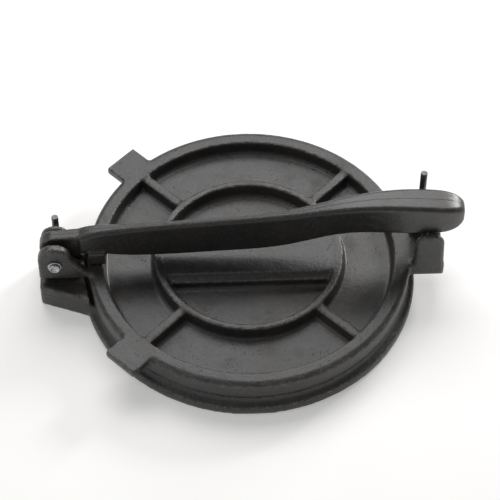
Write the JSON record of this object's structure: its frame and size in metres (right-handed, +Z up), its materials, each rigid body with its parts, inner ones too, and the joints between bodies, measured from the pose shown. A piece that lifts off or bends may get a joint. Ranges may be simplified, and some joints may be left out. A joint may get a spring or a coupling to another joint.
{
  "type": "tortilla press",
  "caption": "Round cast iron tortilla press: flat base, ribbed top plate hinged on a lug, and a long lever with a rounded grip across the top.",
  "frame": {"origin": "middle of the base's underside, on the surface that the press stands on", "axes": "+X along the lever towards its grip, +Y to the back, +Z up"},
  "size_m": [0.2715, 0.216, 0.0781],
  "materials": {
    "base_iron": "oil-seasoned satin black",
    "plate_iron": "oil-seasoned satin black",
    "lever_iron": "oil-seasoned satin black, smoother on the grip",
    "pin_steel": "dark drawn steel",
    "washer_steel": "zinc-plated steel",
    "cap_steel": "zinc-plated steel"
  },
  "bodies": {
    "base": {"base_plate": "base_iron", "hinge_pin": "pin_steel", "hinge_pin_washers": "washer_steel", "hinge_pin_cap": "cap_steel"},
    "upper": {"top_plate": "plate_iron", "rest_pin": "pin_steel", "rest_pin_washer": "washer_steel"},
    "handle": {"lever": "lever_iron"}
  },
  "joints": [
    {"name": "plate_hinge", "type": "hinge", "parent": "base", "child": "upper", "pos_m": [-0.124, 0, 0.036], "axis": [0, -1, 0], "range_deg": [0, 105]},
    {"name": "lever_hinge", "type": "hinge", "parent": "upper", "child": "handle", "pos_m": [-0.124, 0, 0.036], "axis": [0, -1, 0], "range_deg": [0, 60]}
  ]
}
